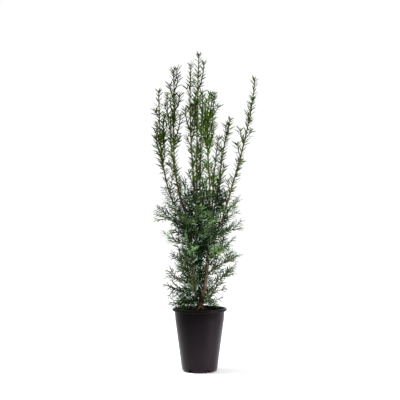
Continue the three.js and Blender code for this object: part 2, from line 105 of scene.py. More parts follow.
def add_node(tree, kind, inputs, **options):
    """Adds a ShaderNode of this kind to a tree, with its options, and with its inputs set or linked."""
    node = tree.nodes.new("ShaderNode" + kind)
    for name, value in options.items():
        setattr(node, name, value)
    for name, value in inputs.items():
        if isinstance(value, bpy.types.Node):
            value = next(socket for socket in value.outputs if socket.enabled)
        if isinstance(value, bpy.types.NodeSocket):
            tree.links.new(value, node.inputs[name])
        else:
            node.inputs[name].default_value = linear(value) if isinstance(value, str) else value
    return node


def new_material(name):
    """A material with an empty tree, and the object coordinates that its patterns are measured in."""
    material = bpy.data.materials.new(name)
    material.use_nodes = True
    material.node_tree.nodes.clear()
    place = add_node(material.node_tree, "TexCoord", {}).outputs["Object"]
    return material, material.node_tree, place


def grain(size):
    """The scale that gives a pattern cells of this size in millimetres."""
    return 1 / (size * MM)


print(f"mid grey #808080 is {linear('#808080')[0]:.3f} in linear light")

# %% [markdown]
# ## One recipe for patterned skins
# Paper, peat, bark and needles differ in size, colour and gloss, but all show two tones in an uneven
# pattern. Each could have a tree of its own, but most would be alike. So one recipe draws them: a noise
# with cells of a real size runs from a dark to a pale tone, and further tones take over with height where
# wood ages, and at the foot of the trunk, which is painted darker as painted shade.

# %% Patterned skins
Tone = namedtuple("Tone", "dark pale begins full", defaults=[None, None])


def patterned(name, size, tones, roughness, gloss, detail=3.0, squash=1, contrast=(0, 1), relief=None):
    """A material of tones in a noise of this size in millimetres, with relief as a strength and a depth."""
    material, tree, place = new_material(name)
    drawn = add_node(tree, "Mapping", {"Vector": place, "Scale": (1, 1, squash)})
    noise = add_node(tree, "TexNoise", {"Vector": drawn, "Scale": grain(size), "Detail": detail})
    patches = add_node(tree, "MapRange", {
        "Value": noise, "From Min": contrast[0], "From Max": contrast[1]})
    colour, *later = [
        add_node(tree, "Mix", {0: patches, 6: tone.dark, 7: tone.pale}, data_type="RGBA") for tone in tones
    ]
    for tone, fresh in zip(tones[1:], later):
        height = add_node(tree, "SeparateXYZ", {"Vector": place}).outputs["Z"]
        share = add_node(tree, "MapRange", {
            "Value": height, "From Min": tone.begins * MM, "From Max": tone.full * MM})
        colour = add_node(tree, "Mix", {0: share, 6: colour, 7: fresh}, data_type="RGBA")
    surface = {"Base Color": colour, "Roughness": roughness, "Specular IOR Level": gloss}
    if relief:
        surface["Normal"] = add_node(tree, "Bump", {
            "Height": noise, "Strength": relief[0], "Distance": relief[1] * MM})
    shader = add_node(tree, "BsdfPrincipled", surface)
    add_node(tree, "OutputMaterial", {"Surface": shader})
    print(f"{name}: {len(tree.nodes)} nodes")
    return material


# %% [markdown]
# ## Floor and light
# The plant stands in an evenly lit white studio, and only a faint shadow shows beside the pot. A curved
# backdrop would hide the plant from behind, so there is a wide pale floor under an all-white surround. A
# large softbox high on the left draws the shadow to the right, and a low strip on the right puts the
# broad sheen on the pot. The plain view transform keeps white paper white.

# %% Floor and surround
FLOOR_WIDTH = 14
SURROUND_LIGHT = 1.01

bpy.ops.object.select_all(action="DESELECT")
bpy.ops.mesh.primitive_plane_add(size=FLOOR_WIDTH, location=(0, 0, 0))
floor = bpy.context.object
floor.name = "studio_floor"
floor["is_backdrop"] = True
# Uncoated paper: rolled from pulp, so it is matt and almost even.
paper = patterned("white_paper", 40, [Tone("#fdfdfd", "#ffffff")], roughness=1.0, gloss=0.0, detail=2.0)
floor.data.materials.append(paper)

surround = bpy.data.worlds.new("white_surround")
surround.use_nodes = True
surround.node_tree.nodes["Background"].inputs["Color"].default_value = linear("#ffffff")
surround.node_tree.nodes["Background"].inputs["Strength"].default_value = SURROUND_LIGHT
bpy.context.scene.world = surround
bpy.context.scene.view_settings.view_transform = "Standard"

# %% Softboxes, in metres, degrees and watts
SOFTBOXES = {
    "left_softbox": ((-1.3, 0.1, 2.1), (0, 0, 0.45), 0.9, 0.9, 180, 55),
    "right_strip": ((1.9, -1.1, 0.17), (0, 0, 0.1), 0.9, 0.26, 40, 6.5),
}
for name, (stand, aim, width, height, spread, watts) in SOFTBOXES.items():
    turn = (Vector(aim) - Vector(stand)).to_track_quat("-Z", "Y").to_euler()
    bpy.ops.object.light_add(type="AREA", location=stand, rotation=turn)
    softbox = bpy.context.object
    softbox.name = name
    softbox.data.shape = "RECTANGLE"
    softbox.data.size, softbox.data.size_y = width, height
    softbox.data.spread = math.radians(spread)
    softbox.data.energy = watts
print(f"{len(SOFTBOXES)} softboxes")

# %% [markdown]
# ## Pot plastic
# Nursery pots are injection moulded from recycled polypropylene. The black is a little warm, and the
# mould's fine grain, drawn here ten times as coarse so that it shows, keeps it satin. Handling polishes
# it in patches. Towards the foot and the right side, the black is painted lighter, with more gloss and
# sheen: painted sheen where the light falls. Below the rim the sheen fades into painted shade from the
# rim. A flat black would do from afar, but close to, the uneven sheen makes plastic look like plastic.

# %% Black polypropylene
# The painted light rises along this slant, towards the foot and the right side.
PAINTED_LIGHT_SLANT = -0.6

pot_plastic, tree, place = new_material("black_polypropylene")
patches = add_node(tree, "TexNoise", {"Vector": place, "Scale": grain(38), "Detail": 4.0})
sparks = add_node(tree, "TexNoise", {"Vector": place, "Scale": grain(1), "Detail": 2.0})
axes = add_node(tree, "SeparateXYZ", {"Vector": place}).outputs
slant = add_node(tree, "Math", {
    0: axes["X"], 1: PAINTED_LIGHT_SLANT, 2: axes["Z"]}, operation="MULTIPLY_ADD")
# This mask is painted light: 0 high on the left, 1 low on the right.
painted_light = add_node(tree, "MapRange", {
    "Value": slant, "From Min": 185 * MM, "From Max": 40 * MM})
# A warm black where shade is painted, and a lighter one where light is painted.
painted_shade_black = add_node(tree, "Mix", {0: patches, 6: "#040203", 7: "#080406"}, data_type="RGBA")
painted_lit_black = add_node(tree, "Mix", {0: patches, 6: "#0a0509", 7: "#120910"}, data_type="RGBA")
tone = add_node(tree, "Mix", {0: painted_light, 6: painted_shade_black, 7: painted_lit_black}, data_type="RGBA")
# Gloss and sheen rise with the painted light: painted sheen over the plastic's own.
gloss = add_node(tree, "MapRange", {"Value": painted_light, "To Min": 0.02, "To Max": 0.095})
sheen_with_painted_light = add_node(tree, "MapRange", {"Value": painted_light, "To Min": 0.16, "To Max": 0.24})
# Painted shade below the rim: the sheen fades towards the rim.
painted_rim_shade = add_node(tree, "MapRange", {
    "Value": axes["Z"], "From Min": 150 * MM, "From Max": 190 * MM, "To Min": 1.0, "To Max": 0.35})
# This sheen weight carries both the painted light and the painted shade under the rim.
sheen_weight_with_painted_light_and_shade = add_node(tree, "Math", {0: sheen_with_painted_light, 1: painted_rim_shade}, operation="MULTIPLY")
polish = add_node(tree, "MapRange", {
    "Value": patches, "From Min": 0.3, "From Max": 0.7, "To Min": 0.34, "To Max": 0.42})
relief = add_node(tree, "Bump", {
    "Height": sparks, "Strength": 0.12, "Distance": 0.2 * MM})
plastic = add_node(tree, "BsdfPrincipled", {
    "Base Color": tone, "Roughness": polish, "IOR": 1.49, "Specular IOR Level": gloss,
    "Sheen Weight": sheen_weight_with_painted_light_and_shade, "Sheen Roughness": 0.4, "Normal": relief})
add_node(tree, "OutputMaterial", {"Surface": plastic})
print(f"{pot_plastic.name}: {len(tree.nodes)} nodes")

# %% [markdown]
# ## The pot
# The pot is a turned shape: a raised base inside a foot ring, a rounded corner, a wall that widens
# upwards, a steeper band that stops stacked pots from jamming, and a thick rim. It could be spun from a
# drawn profile. Here a disc is drawn up, one ring at a time, as on a potter's wheel: extrude, then scale.
# The same moves go over the rim and down inside, so the wall has its real thickness and the mesh is
# closed.

# %% Draw the pot up from its base
POT_SIDES = 96
POT_RINGS = [
    (40, 7.5), (41.2, 6.8), (41.8, 0.8), (42.6, 0), (46, 0), (50.2, 0.5), (53, 2.2), (54.8, 5.4),
    (56.2, 11), (74.6, 151), (75.2, 154.6), (75.6, 158), (77.9, 187.4), (78.4, 188), (80, 188), (83, 188),
    (84.2, 188.6), (84.9, 190), (85, 192), (84.6, 194.1), (83.4, 195.5), (81.6, 196), (79, 196),
    (77.4, 195.4), (76.4, 193.8), (76, 188), (73.4, 156), (72.9, 152), (54.4, 14.6), (52.6, 11.4), (46, 10),
]


def turned(name, rings, sides):
    """A closed body: a disc that is taken through rings of radius and height, in millimetres."""
    bpy.ops.object.select_all(action="DESELECT")
    bpy.ops.mesh.primitive_circle_add(
        vertices=sides, radius=rings[0][0] * MM, fill_type="NGON", location=(0, 0, 0)
    )
    body = bpy.context.object
    body.name = name
    bpy.ops.object.mode_set(mode="EDIT")
    bpy.ops.mesh.select_all(action="SELECT")
    bpy.ops.transform.translate(value=(0, 0, rings[0][1] * MM))
    for (last_radius, last_height), (radius, height) in zip(rings, rings[1:]):
        rise = (0, 0, (height - last_height) * MM)
        bpy.ops.mesh.extrude_region_move(TRANSFORM_OT_translate={"value": rise})
        grow = radius / last_radius
        bpy.ops.transform.resize(value=(grow, grow, 1), center_override=(0, 0, height * MM))
    bpy.ops.mesh.select_all(action="SELECT")
    bpy.ops.mesh.normals_make_consistent(inside=False)
    bpy.ops.object.mode_set(mode="OBJECT")
    print(f"{name}: {len(body.data.vertices)} points")
    return body


pot = turned("nursery_pot", POT_RINGS, POT_SIDES)

# %% [markdown]
# ## The drains
# Water leaves through six notches that break the corner of the foot, so the pot stands on six short feet.
# They could be drawn into the rings, but the notch is narrower than its neighbours, so a cutter does it:
# a block with rounded upper edges, copied round the pot with Spin and taken away with a Boolean modifier.

# %% Make the cutter
DRAINS = 6
DRAIN_WIDTH, DRAIN_HEIGHT, DRAIN_TURN = 13, 10, -2
CUTTER_LENGTH, CUTTER_ROUNDING = 34, 3.5
FOOT_RADIUS = 55

bpy.ops.object.select_all(action="DESELECT")
bpy.ops.mesh.primitive_cube_add(size=1, location=(0, 0, 0))
cutter = bpy.context.object
bpy.ops.object.mode_set(mode="EDIT")
bpy.ops.transform.resize(value=(CUTTER_LENGTH * MM, DRAIN_WIDTH * MM, 2 * DRAIN_HEIGHT * MM))
bpy.ops.transform.translate(value=(FOOT_RADIUS * MM, 0, 0))
bpy.ops.object.mode_set(mode="OBJECT")
for edge in cutter.data.edges:
    ends = [cutter.data.vertices[i].co for i in edge.vertices]
    edge.select = all(end.z > 0 for end in ends) and abs(ends[0].y - ends[1].y) < MM
bpy.ops.object.mode_set(mode="EDIT")
bpy.ops.mesh.select_mode(type="EDGE")
bpy.ops.mesh.bevel(offset=CUTTER_ROUNDING * MM, segments=4)
bpy.ops.mesh.select_all(action="SELECT")
first_turn = math.radians(180 / DRAINS - 90 + DRAIN_TURN)
bpy.ops.transform.rotate(value=-first_turn, orient_axis="Z", center_override=(0, 0, 0))
round_the_rest = 2 * math.pi * (DRAINS - 1) / DRAINS
bpy.ops.mesh.spin(steps=DRAINS - 1, dupli=True, angle=round_the_rest, center=(0, 0, 0), axis=(0, 0, 1))
bpy.ops.mesh.select_all(action="SELECT")
bpy.ops.mesh.normals_make_consistent(inside=False)
bpy.ops.object.mode_set(mode="OBJECT")
print(f"cutter: {len(cutter.data.polygons)} faces")

# %% Cut the drains and finish the pot
SMOOTH_UP_TO = 38

bpy.context.view_layer.objects.active = pot
notch = pot.modifiers.new("drains", "BOOLEAN")
notch.object = cutter
notch.solver = "EXACT"
bpy.ops.object.modifier_apply(modifier=notch.name)
bpy.data.objects.remove(cutter)
bpy.ops.object.select_all(action="DESELECT")
pot.select_set(True)
bpy.ops.object.shade_smooth_by_angle(angle=math.radians(SMOOTH_UP_TO))
pot.data.materials.clear()
pot.data.materials.append(pot_plastic)
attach(pot, "root")
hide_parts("pot")
print(f"pot with drains: {len(pot.data.polygons)} faces")

# %% [markdown]
# ## Potting soil
# The soil is dark peat with composted bark in it, a little higher round the stem and washed lower at the
# wall. It fills the pot, so it is a full body and not a lid: turned as the pot was, in rings that close
# in over the top. A Displace modifier with a cloud pattern breaks up only the top, by way of a vertex
# group.

# %% Fill the pot
SOIL_TOP, SOIL_SINK, SOIL_RADIUS, SOIL_SIDES = 190, 4, 74, 72
# Milled peat: crumbled and moist, so it swallows the light and shows only lumps. It is painted darker still:
# painted shade in the mouth of the pot.
PEAT_TONES = [Tone("#080504", "#1c130d")]
peat = patterned("peat_with_bark", 5, PEAT_TONES, roughness=0.95, gloss=0.02, detail=6.0, relief=(0.7, 1.5))


def soil_height(radius):
    """How high the soil is at a distance from the middle of the pot."""
    return SOIL_TOP - SOIL_SINK * (radius / SOIL_RADIUS) ** 2


def raise_pattern(piece, name, size, depth, level, octaves, kind="SOFT_NOISE", group=""):
    """Displaces a mesh by a cloud pattern, whose size and depth are in millimetres."""
    pattern = bpy.data.textures.new(name, "CLOUDS")
    pattern.noise_scale = size * MM
    pattern.noise_depth = octaves
    pattern.noise_type = kind
    lift = piece.modifiers.new(name, "DISPLACE")
    lift.texture = pattern
    lift.texture_coords = "LOCAL"
    lift.strength = depth * MM
    lift.mid_level = level
    lift.vertex_group = group
    bpy.ops.object.modifier_apply(modifier=lift.name)


soil_edge = soil_height(SOIL_RADIUS)
top_rings = [(radius, soil_height(radius)) for radius in range(72, 1, -3)]
soil_rings = [(45, 10.6), (51, 12), (52.4, 15), (72, 154), (SOIL_RADIUS, soil_edge), *top_rings]
soil = turned("potting_soil", soil_rings, SOIL_SIDES)
top = soil.vertex_groups.new(name="top")
top.add([v.index for v in soil.data.vertices if v.co.z > (soil_edge + 0.1) * MM], 1.0, "REPLACE")
raise_pattern(soil, "clods", 9, 7, 0.62, 4, group=top.name)
bpy.ops.object.shade_smooth()
soil.data.materials.append(peat)
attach(soil, "root")
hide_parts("soil")

# %% [markdown]
# ## Joined meshes of small things
# Crumbs, twigs and needles are too many to model one by one. Particles or instances would be quick to
# show, but the exported model drops them, so each kind is one mesh: arrays of points and faces for one
# crumb, twig or needle, moved to every place at once and joined.

# %% Make one mesh from many small ones
def join_arrays(name, parts, materials):
    """A piece from (points in millimetres, triangles, material number for each triangle) parts."""
    offsets = np.cumsum([0] + [len(points) for points, _, _ in parts])
    points = np.concatenate([points for points, _, _ in parts]) * MM
    triangles = np.concatenate([faces + start for (_, faces, _), start in zip(parts, offsets)])
    mesh = bpy.data.meshes.new(name)
    mesh.from_pydata(points, [], triangles)
    for material in materials:
        mesh.materials.append(material)
    numbers = np.concatenate([numbers for _, _, numbers in parts]).astype(np.int32)
    mesh.polygons.foreach_set("material_index", numbers)
    mesh.update()
    piece = bpy.data.objects.new(name, mesh)
    bpy.context.collection.objects.link(piece)
    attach(piece, "root")
    print(f"{name}: {len(triangles)} triangles")
    return piece


def unit(vectors):
    """Vectors of length 1 in the same directions."""
    vectors = np.asarray(vectors, float)
    return vectors / np.linalg.norm(vectors, axis=-1, keepdims=True)


# %% Crumbs and bark chips
CRUMBS, CRUMB_REACH, CRUMB_LIFT, CRUMB_TILT = 700, 72, 0.4, 0.4
CRUMB_SIZES, CRUMB_STRETCH, CRUMB_FLATNESS, CRUMB_UNEVENNESS = (0.8, 1.9), (1, 2.4), (0.5, 1), (0.7, 1.2)
LUMP = unit([(x, y, z) for x in (-1, 1) for y in (-1, 1) for z in (-1, 1)])
LUMP_FACES = np.array([
    (0, 1, 3), (0, 3, 2), (4, 6, 7), (4, 7, 5), (0, 4, 5), (0, 5, 1),
    (2, 3, 7), (2, 7, 6), (0, 2, 6), (0, 6, 4), (1, 5, 7), (1, 7, 3),
])
# Composted conifer bark: shredded and half rotted, so its chips are dull and streaked.
CHIP_TONES = [Tone("#1a110a", "#4a3524")]
chip_bark = patterned("composted_bark", 3, CHIP_TONES, roughness=0.9, gloss=0.05, detail=4.0)

rng = np.random.default_rng(11)
crumbs = []
for _ in range(CRUMBS):
    radius, angle = CRUMB_REACH * math.sqrt(rng.uniform(0.02, 1)), rng.uniform(0, 2 * math.pi)
    size = rng.uniform(*CRUMB_SIZES)
    lump = LUMP * size * (rng.uniform(*CRUMB_STRETCH), 1, rng.uniform(*CRUMB_FLATNESS))
    lump = lump * rng.uniform(*CRUMB_UNEVENNESS, LUMP.shape)
    turn, tilt = rng.uniform(0, math.pi), rng.normal(0, CRUMB_TILT)
    turned_lump = lump @ np.array(Euler((0, -tilt, turn)).to_matrix()).T
    spot = (radius * math.cos(angle), radius * math.sin(angle), soil_height(radius) + CRUMB_LIFT)
    crumbs.append((turned_lump + spot, LUMP_FACES, np.full(len(LUMP_FACES), rng.integers(2))))
join_arrays("soil_crumbs", crumbs, [peat, chip_bark])

# %% [markdown]
# ## Limbs
# A trunk leans out of the root crown and forks low down into stems, which carry seven boughs. Each is a
# single bow, which leaves its carrier in one direction and reaches its tip in another. A Bezier curve has
# just these handles, so the same four points serve as a numpy curve for the rule and as a Blender curve
# for the wood. A limb leaves its carrier at a share of its length, and its radii are those of its two
# ends.

# %% The limbs as bows
def bow(start, leave, tip, arrive):
    """Four control points of a curve that leaves start and reaches tip in the two directions."""
    start, tip = np.asarray(start, float), np.asarray(tip, float)
    third = np.linalg.norm(tip - start) / 3
    return np.array([start, start + third * unit(leave), tip - third * unit(arrive), tip])


FINE_STEPS = np.linspace(0, 1, 201)


def bezier(curve, steps):
    """Points and directions of a bow at steps of its own parameter."""
    t = np.asarray(steps, float)[:, None]
    a, b, c, d = curve
    points = (1 - t) ** 3 * a + 3 * (1 - t) ** 2 * t * b + 3 * (1 - t) * t**2 * c + t**3 * d
    slopes = (1 - t) ** 2 * (b - a) + 2 * (1 - t) * t * (c - b) + t**2 * (d - c)
    return points, unit(slopes)


def run_of(curve):
    """How far along a bow each fine step is. The last one is its length."""
    points, _ = bezier(curve, FINE_STEPS)
    return np.append(0, np.cumsum(np.linalg.norm(np.diff(points, axis=0), axis=1)))


def along(curve, shares):
    """Points and directions at shares of a bow's length."""
    run = run_of(curve)
    return bezier(curve, np.interp(np.asarray(shares, float) * run[-1], run, FINE_STEPS))


# %% Trunk, stems and boughs
Limb = namedtuple("Limb", "carrier at tip leave arrive radii")
TRUNK_FOOT = (-4, 0, 184)
LIMBS = {
    "trunk": Limb(None, None, (31, -8, 505), (0.35, 0, 1), (0.05, -0.08, 1), (7.2, 4.4)),
    "stem_left": Limb("trunk", 0.035, (-45, -2, 492), (-0.32, -0.06, 1), (-0.4, -0.02, 1), (4.6, 2.9)),
    "stem_back": Limb("trunk", 0.045, (0, 46, 480), (0.02, 0.42, 1), (0.02, 0.08, 1), (4.2, 2.7)),
    "bough_far_left": Limb("stem_left", 0.66, (-82, 24, 522), (-0.5, 0.2, 1), (-0.42, 0.06, 1), (2.9, 2.4)),
    "bough_tallest": Limb("stem_left", 0.4, (-9, 20, 540), (0.1, 0.2, 1), (0, 0.02, 1), (3, 2.5)),
    "bough_centre_left": Limb(
        "stem_left", 0.56, (-13, -30, 542), (0.2, -0.34, 1), (-0.1, -0.06, 1), (2.9, 2.4)),
    "bough_right": Limb("trunk", 0.72, (49, 20, 520), (0.16, 0.36, 1), (0.18, 0.1, 1), (2.8, 2.3)),
    "bough_far_right": Limb("trunk", 0.58, (83, -14, 512), (0.45, -0.1, 1), (0.28, -0.04, 1), (3, 2.5)),
    "bough_back_right": Limb("stem_back", 0.55, (38, 62, 492), (0.36, 0.2, 1), (0.1, 0.08, 1), (2.7, 2.2)),
    "bough_back_left": Limb("stem_back", 0.6, (-46, 66, 496), (-0.46, 0.2, 1), (-0.34, 0.08, 1), (2.7, 2.2)),
}
limb_curves = {}
for name, limb in LIMBS.items():
    start = along(limb_curves[limb.carrier], [limb.at])[0][0] if limb.carrier else TRUNK_FOOT
    limb_curves[name] = bow(start, limb.leave, limb.tip, limb.arrive)
print({name: round(run_of(curve)[-1]) for name, curve in limb_curves.items()})

# %% [markdown]
# ## The wood as one mesh
# Real forks have no seams: the bark runs from the stem into the bough. So every limb becomes a round
# curve that tapers, five short roots spread from the foot, and a pruned side stem is left as a stub. They
# are turned into meshes, joined, and run through a voxel Remesh, which melts them into one skin.
# Smoothing then takes away the voxel steps and softens the forks.

# %% Bend the limbs
def round_rod(curve, radii):
    """A curve object along a bow, round, with a radius at each end in millimetres."""
    bpy.ops.object.select_all(action="DESELECT")
    bpy.ops.curve.primitive_bezier_curve_add(location=(0, 0, 0))
    rod = bpy.context.object
    start, first, second, tip = (Vector(point) * MM for point in curve)
    ends = rod.data.splines[0].bezier_points
    for end, place, before, after, radius in (
        (ends[0], start, 2 * start - first, first, radii[0]),
        (ends[1], tip, second, 2 * tip - second, radii[1]),
    ):
        end.handle_left_type = end.handle_right_type = "FREE"
        end.co, end.handle_left, end.handle_right, end.radius = place, before, after, radius
    rod.data.dimensions = "3D"
    rod.data.bevel_depth = MM
    rod.data.bevel_resolution = 3
    rod.data.resolution_u = 32
    rod.data.use_fill_caps = True
    return rod


rods = [round_rod(limb_curves[name], limb.radii) for name, limb in LIMBS.items()]

# %% Roots and stub
ROOTS, ROOT_TURN, ROOT_FROM = 5, 0.6, 0.1
ROOT_REACH, ROOT_RISE, ROOT_RADII = 21, 5, (4.2, 5.6)
STUB_HEIGHT, STUB_LENGTH, STUB_RADII = 56, 17, (4.8, 4.2)

trunk_curve = limb_curves["trunk"]
root_start = along(trunk_curve, [ROOT_FROM])[0][0]
for root in range(ROOTS):
    angle = ROOT_TURN + root * 2 * math.pi / ROOTS
    out = np.array([math.cos(angle), math.sin(angle), 0])
    tip = trunk_curve[0] + ROOT_REACH * out + (0, 0, ROOT_RISE)
    rods.append(round_rod(bow(root_start, (0, 0, -1), tip, out * 0.9 - (0, 0, 0.4)), ROOT_RADII))

stub_way = unit((-0.55, -0.35, 1))
stub_start = along(trunk_curve, [STUB_HEIGHT / run_of(trunk_curve)[-1]])[0][0]
stub_end = stub_start + STUB_LENGTH * stub_way
rods.append(round_rod(bow(stub_start, stub_way, stub_end, stub_way), STUB_RADII))
print(f"{len(rods)} rods")

# %% Melt them into one skin
VOXEL = 1.0

bpy.ops.object.select_all(action="DESELECT")
for rod in rods:
    rod.select_set(True)
bpy.context.view_layer.objects.active = rods[0]
bpy.ops.object.convert(target="MESH")
bpy.ops.object.join()
wood = bpy.context.object
wood.name = "stems_and_boughs"
skin = wood.modifiers.new("skin", "REMESH")
skin.mode = "VOXEL"
skin.voxel_size = VOXEL * MM
bpy.ops.object.modifier_apply(modifier=skin.name)
soft = wood.modifiers.new("soft", "SMOOTH")
soft.factor = 0.5
soft.iterations = 5
bpy.ops.object.modifier_apply(modifier=soft.name)
print(f"wood: {len(wood.data.polygons)} faces")

# %% [markdown]
# ## Bark relief
# Yew bark peels in thin plates, longer than they are wide. Relief could be left to a bump map, but the
# mesh is kept too, so the plates are real: two Displace modifiers raise them. Their patterns are as long
# as they are wide, so the mesh is squashed along its height first and stretched back after.

# %% Raise the bark
SQUASH = 0.35
PLATE_LEVEL = 0.45
PLATES = [("plates", 4.5, 1.1), ("cracks", 1.6, 0.5)]


def stretch_height(factor):
    """Scales the height of the active mesh, in edit mode, so that the object keeps its own scale."""
    bpy.ops.object.mode_set(mode="EDIT")
    bpy.ops.mesh.select_all(action="SELECT")
    bpy.ops.transform.resize(value=(1, 1, factor), center_override=(0, 0, 0))
    bpy.ops.object.mode_set(mode="OBJECT")


stretch_height(SQUASH)
for name, size, depth in PLATES:
    raise_pattern(wood, name, size, depth, PLATE_LEVEL, 2, kind="HARD_NOISE")
stretch_height(1 / SQUASH)
bpy.ops.object.shade_smooth()
print(f"{len(PLATES)} patterns raised")

# %% [markdown]
# ## Bark colour
# Halfway up, the bark is a dull brown. Lower down lies a pale band, where plates have lifted from pinker
# bark, and the foot is painted darker: painted shade under the low sprays and the rim. Higher up the bark
# is younger, thinner and more olive.
# One noise, which is stretched along the height, gives the flakes in all four, and the height carries
# each over into the next.

# %% Yew bark
BARK_TONES = [
    Tone("#18120c", "#5c4a39"),
    Tone("#291d16", "#8c7262", begins=305, full=265),
    # Painted shade: the foot of the trunk is drawn darker.
    Tone("#150d08", "#4a362a", begins=247, full=222),
    Tone("#2c2615", "#665d3a", begins=320, full=480),
]
# Bark is dry cork: rough, with hardly any gloss.
yew_bark = patterned("yew_bark", 4, BARK_TONES, roughness=0.85, gloss=0.12, detail=5.0, squash=0.3)
wood.data.materials.clear()
wood.data.materials.append(yew_bark)
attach(wood, "root")
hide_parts(*LIMBS)

# %% [markdown]
# ## Shoots and sprays
# An upright shoot goes on from the tip of a limb, and a spray leaves the side of one at a height. Each
# fork leaves its stem at a share of the length, for a tip of its own. Forks could be left to chance, but
# a crown is full here and open there, so they are listed one by one. A fullness below 1 spaces the side
# twigs out, and leaves a shoot bare at its foot. The tint names the green of the needles.

# %% Upright shoots
Shoot = namedtuple("Shoot", "limb tip arrive tint fullness forks", defaults=[1, ()])
SHOOTS = {
    "shoot_far_left": Shoot("bough_far_left", (-130, 40, 880), (-0.04, 0, 1), "leader", 0.7, [
        (0.5, -134, 28, 774), (0.56, -112, 30, 800), (0.4, -138, 46, 752), (0.32, -121, 30, 722),
        (0.45, -116, 44, 778), (0.36, -112, 34, 746)]),
    "shoot_left": Shoot("stem_left", (-82, -10, 939), (-0.06, 0, 1), "leader", 0.7, [
        (0.5, -101, -28, 857), (0.9, -70, -18, 940), (0.85, -68, -4, 914), (0.8, -93, 2, 892),
        (0.7, -62, -16, 858), (0.5, -60, -22, 796), (0.68, -91, -24, 846), (0.62, -78, -22, 834)]),
    "shoot_tallest": Shoot("bough_tallest", (-2, 14, 993), (0.04, 0, 1), "olive", 1, [
        (0.74, 13, 4, 962), (0.56, -16, 2, 842), (0.48, -14, 24, 808), (0.04, 10, -4, 600),
        (0.12, 4, 2, 690)]),
    "shoot_centre_left": Shoot("bough_centre_left", (-26, -44, 953), (0.06, 0, 1), "leader", 0.8, [
        (0.5, -44, -50, 810), (0.6, -12, -52, 862), (0.54, -10, -40, 836), (0.42, -14, -58, 786),
        (0.08, -19, -50, 652)]),
    "shoot_centre_right": Shoot("trunk", (33, -32, 866), (0.2, -0.05, 1), "bright", 1, [
        (0.52, 9, -44, 856), (0.68, 45, -14, 860), (0.66, 20, -52, 842), (0.74, 38, -44, 856),
        (0.6, 40, -34, 792), (0.54, 18, -42, 780), (0.5, 44, -20, 762), (0.48, 38, -24, 768),
        (0.04, 20, -36, 596)]),
    "shoot_right": Shoot("bough_right", (99, 42, 792), (0.3, 0, 1), "leader", 1, [
        (0.12, 66, 6, 622), (0.06, 38, 34, 600), (0.8, 92, 30, 770), (0.76, 82, 44, 768)]),
    "shoot_far_right": Shoot("bough_far_right", (171, -24, 910), (0.07, 0, 1), "olive", 1, [
        (0.5, 126, -36, 748)]),
    "shoot_back": Shoot("stem_back", (8, 76, 830), (0.05, 0, 1), "leader"),
    "shoot_back_right": Shoot("bough_back_right", (62, 90, 735), (0.2, 0, 1), "mid", 0.5),
    "shoot_back_left": Shoot("bough_back_left", (-94, 92, 800), (0.02, 0, 1), "leader", 0.5),
}
print(f"{len(SHOOTS)} shoots")

# %% Sprays on the left and in front
Spray = namedtuple("Spray", "limb height tip tint fullness forks", defaults=[1, ()])
SPRAYS = {
    "spray_left_upright": Spray("stem_left", 474, (-58, -42, 592), "dark", 0.4, [(0.4, -70, -26, 556)]),
    "spray_left_peak": Spray("bough_far_left", 484, (-98, -32, 574), "dark", 0.35),
    "spray_left_top": Spray("stem_left", 446, (-146, -18, 488), "mid", 0.5, [
        (0.55, -130, -30, 508), (0.6, -134, -34, 470)]),
    "spray_left_back": Spray("stem_left", 416, (-100, 52, 434), "dark", 0.35),
    "spray_left_high": Spray("stem_left", 382, (-104, -38, 410), "mid", 0.8),
    "spray_left_middle": Spray("stem_left", 318, (-96, 20, 352), "dark", 0.6),
    "spray_left_inner": Spray("stem_left", 284, (-78, -48, 334), "low", 1, [
        (0.55, -64, -44, 376), (0.45, -50, -54, 364), (0.35, -38, -44, 370), (0.5, -70, -46, 392),
        (0.4, -54, -40, 388)]),
    "spray_left_low": Spray("stem_left", 262, (-110, -16, 296), "low", 0.4, [(0.65, -98, -32, 314)]),
    "spray_left_foot": Spray("stem_left", 222, (-121, 22, 268), "low", 1, [
        (0.5, -84, -6, 228), (0.65, -100, 8, 232), (0.35, -62, -14, 220)]),
    # The shaded green is painted shade, low by the rim.
    "spray_pot_left": Spray("stem_left", 207, (-84, -32, 224), "shaded", 1, [
        (0.45, -44, -48, 206), (0.6, -62, -16, 204), (0.3, -28, -40, 206), (0.5, -54, -52, 238),
        (0.6, -72, -30, 244), (0.35, -38, -50, 232), (0.5, -60, -34, 201), (0.6, -72, -12, 203),
        (0.35, -42, -36, 201), (0.7, -88, -12, 207), (0.6, -76, -46, 206)]),
    # The shaded green is painted shade in the dark middle of the crown.
    "spray_front_peak": Spray("bough_centre_left", 476, (0, -100, 558), "shaded", 1, [
        (0.55, 12, -58, 556), (0.15, 14, -36, 540), (0.75, 16, -66, 578), (0.35, 22, -48, 564),
        (0.2, 46, -40, 556), (0.3, 14, -50, 520), (0.45, 16, -60, 586), (0.65, 40, -62, 552)]),
    "spray_front_top": Spray("stem_left", 430, (-24, -110, 472), "mid"),
    "spray_front_left": Spray("stem_left", 340, (-42, -98, 384), "young"),
    "spray_front_low": Spray("stem_left", 240, (-30, -66, 292), "low", 1, [
        (0.3, -20, -36, 304), (0.25, -13, -36, 282), (0.4, -22, -46, 322), (0.2, -18, -30, 266)]),
    "spray_front_centre": Spray("trunk", 408, (10, -106, 430), "dark"),
    "spray_front_right": Spray("trunk", 436, (52, -108, 476), "young"),
}

